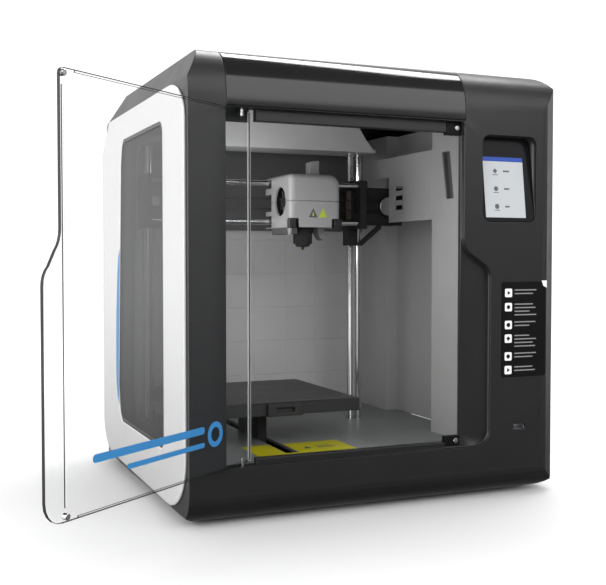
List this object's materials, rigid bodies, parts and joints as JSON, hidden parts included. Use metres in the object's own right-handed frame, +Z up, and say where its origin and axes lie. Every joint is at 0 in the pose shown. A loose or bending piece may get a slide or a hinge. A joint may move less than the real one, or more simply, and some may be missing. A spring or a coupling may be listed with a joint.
{
  "type": "fdm printer",
  "caption": "Enclosed desktop filament printer: black shell with white sides, clear hinged front door, sliding bed, lifting gantry with a print head, and a tilted touchscreen.",
  "frame": {"origin": "on the table, at the middle of the ground that the printer covers with its door open at rest", "axes": "+Z up; +X to the right of someone who faces the door; +Y from the door to the rear"},
  "size_m": [0.5208, 0.4716, 0.405],
  "materials": {
    "black_satin": "satin moulded plastic",
    "black_gloss": "polished",
    "black_matte": "fine texture",
    "white_gloss": "polished",
    "clear": "clear acrylic",
    "rubber": "matte",
    "grey_floor": "satin",
    "grey_liner": "satin",
    "lamp_lens": "frosted",
    "screen_glass": "cover glass",
    "steel": "ground",
    "motor_black": "satin",
    "belt": "toothed",
    "circuit_board": "solder mask",
    "sheet_steel": "plated",
    "grey_plastic": "satin",
    "dark_metal": "satin",
    "brass": "turned",
    "bed_coating": "fine grain",
    "switch_red": "polished"
  },
  "bodies": {
    "root": {"base_pan": "black_matte", "feet": "rubber", "front_bezel": "black_satin", "roof_rails": "black_satin", "top_lid": "black_gloss", "rear_panel": "black_matte", "left_side_panel": "white_gloss", "left_window_frame": "black_matte", "left_window": "clear", "right_side_panel": "white_gloss", "chamber_floor": "grey_floor", "back_liner": "grey_liner", "upper_back_panel": "black_matte", "left_liner": "grey_liner", "right_liner": "grey_liner", "crossbeam": "grey_liner", "side_guard": "grey_liner", "chamber_light": "lamp_lens", "door_catches": "black_matte", "touchscreen": "screen_glass", "usb_port": "steel", "power_inlet": "black_matte", "guide_rods": "steel", "lift_motors": "motor_black", "bed_motor": "motor_black", "bed_belt": "belt", "mainboard": "circuit_board", "power_supply": "sheet_steel", "feed_motor": "motor_black", "rear_fan_frame": "black_matte", "spool_spindle": "grey_plastic", "panel_screws": "steel"},
    "door": {"front_door": "clear", "door_hinge_pins": "steel", "door_magnets": "steel"},
    "gantry": {"gantry_bracket_left": "dark_metal", "gantry_bracket_right": "dark_metal", "carriage_rods": "steel", "carriage_motor": "motor_black", "carriage_belt": "belt", "lead_nuts": "brass"},
    "carriage": {"carriage_housing": "grey_plastic", "carriage_slider": "dark_metal", "hotend": "brass", "nozzle_shroud": "black_matte"},
    "head_fan": {"hotend_fan": "black_matte"},
    "clip_left": {"nozzle_clip_left": "black_matte"},
    "clip_right": {"nozzle_clip_right": "black_matte"},
    "bed": {"bed_frame": "black_matte", "bed_plate": "bed_coating"},
    "screw_left": {"left_lead_screw": "steel"},
    "screw_right": {"right_lead_screw": "steel"},
    "drive_pulley": {"carriage_pulley": "steel"},
    "idler": {"carriage_idler": "steel"},
    "bed_drive_pulley": {"bed_pulley": "steel"},
    "cover": {"filament_cover": "white_gloss"},
    "feeder_gear": {"feed_gear": "brass"},
    "exhaust_fan": {"rear_fan": "black_matte"},
    "rocker": {"power_switch": "switch_red"},
    "spool_carrier": {"spool_hub": "black_matte"}
  },
  "joints": [
    {"name": "door_hinge", "type": "hinge", "parent": "root", "child": "door", "pos_m": [-0.07456, -0.09854, 0.203], "axis": [0, 0, 1], "range_deg": [0, 143]},
    {"name": "gantry_lift", "type": "slide", "parent": "root", "child": "gantry", "axis": [0, 0, 1], "range_m": [-0.1463, 0.006]},
    {"name": "left_screw_turn", "type": "hinge", "parent": "root", "child": "screw_left", "pos_m": [-0.09856, 0.13579, 0.2], "axis": [0, 0, 1], "range_deg": [-6600, 280]},
    {"name": "right_screw_turn", "type": "hinge", "parent": "root", "child": "screw_right", "pos_m": [0.13384, 0.12179, 0.2], "axis": [0, 0, 1], "range_deg": [-6600, 280]},
    {"name": "carriage_slide", "type": "slide", "parent": "gantry", "child": "carriage", "axis": [1, 0, 0], "range_m": [-0.13, 0.02]},
    {"name": "carriage_pulley_turn", "type": "hinge", "parent": "gantry", "child": "drive_pulley", "pos_m": [0.17294, 0.10579, 0.2873], "axis": [0, 1, 0], "range_deg": [-1400, 220]},
    {"name": "carriage_idler_turn", "type": "hinge", "parent": "gantry", "child": "idler", "pos_m": [-0.09706, 0.10579, 0.2873], "axis": [0, 1, 0], "range_deg": [-1400, 220]},
    {"name": "bed_slide", "type": "slide", "parent": "root", "child": "bed", "axis": [0, 1, 0], "range_m": [-0.0755, 0.0695]},
    {"name": "bed_pulley_turn", "type": "hinge", "parent": "root", "child": "bed_drive_pulley", "pos_m": [0.03394, 0.18579, 0.024], "axis": [1, 0, 0], "range_deg": [-760, 820]},
    {"name": "head_fan_spin", "type": "hinge", "parent": "carriage", "child": "head_fan", "pos_m": [0.03244, 0.06779, 0.2875], "axis": [1, 0, 0], "continuous": true},
    {"name": "clip_left_press", "type": "slide", "parent": "carriage", "child": "clip_left", "axis": [1, 0, 0], "range_m": [0, 0.0025], "stiffness_N_per_m": 400},
    {"name": "clip_right_press", "type": "slide", "parent": "carriage", "child": "clip_right", "axis": [-1, 0, 0], "range_m": [0, 0.0025], "stiffness_N_per_m": 400},
    {"name": "cover_hinge", "type": "hinge", "parent": "root", "child": "cover", "pos_m": [0.25894, 0.19579, 0.222], "axis": [0, 0, 1], "range_deg": [0, 100]},
    {"name": "feed_gear_turn", "type": "hinge", "parent": "root", "child": "feeder_gear", "pos_m": [0.21244, -0.04671, 0.3095], "axis": [1, 0, 0], "continuous": true},
    {"name": "rear_fan_spin", "type": "hinge", "parent": "root", "child": "exhaust_fan", "pos_m": [0.22044, 0.22079, 0.25], "axis": [0, 1, 0], "continuous": true},
    {"name": "switch_rock", "type": "hinge", "parent": "root", "child": "rocker", "pos_m": [0.21944, 0.22879, 0.086], "axis": [1, 0, 0], "range_deg": [0, 20]},
    {"name": "hub_turn", "type": "hinge", "parent": "root", "child": "spool_carrier", "pos_m": [0.23444, 0.08579, 0.22], "axis": [1, 0, 0], "continuous": true}
  ],
  "couplings": [
    {"joint": "left_screw_turn", "follows": "gantry_lift", "rad_per_m": 785.4},
    {"joint": "right_screw_turn", "follows": "gantry_lift", "rad_per_m": 785.4},
    {"joint": "carriage_pulley_turn", "follows": "carriage_slide", "rad_per_m": 178.57},
    {"joint": "carriage_idler_turn", "follows": "carriage_slide", "rad_per_m": 178.57},
    {"joint": "bed_pulley_turn", "follows": "bed_slide", "rad_per_m": -178.57}
  ]
}
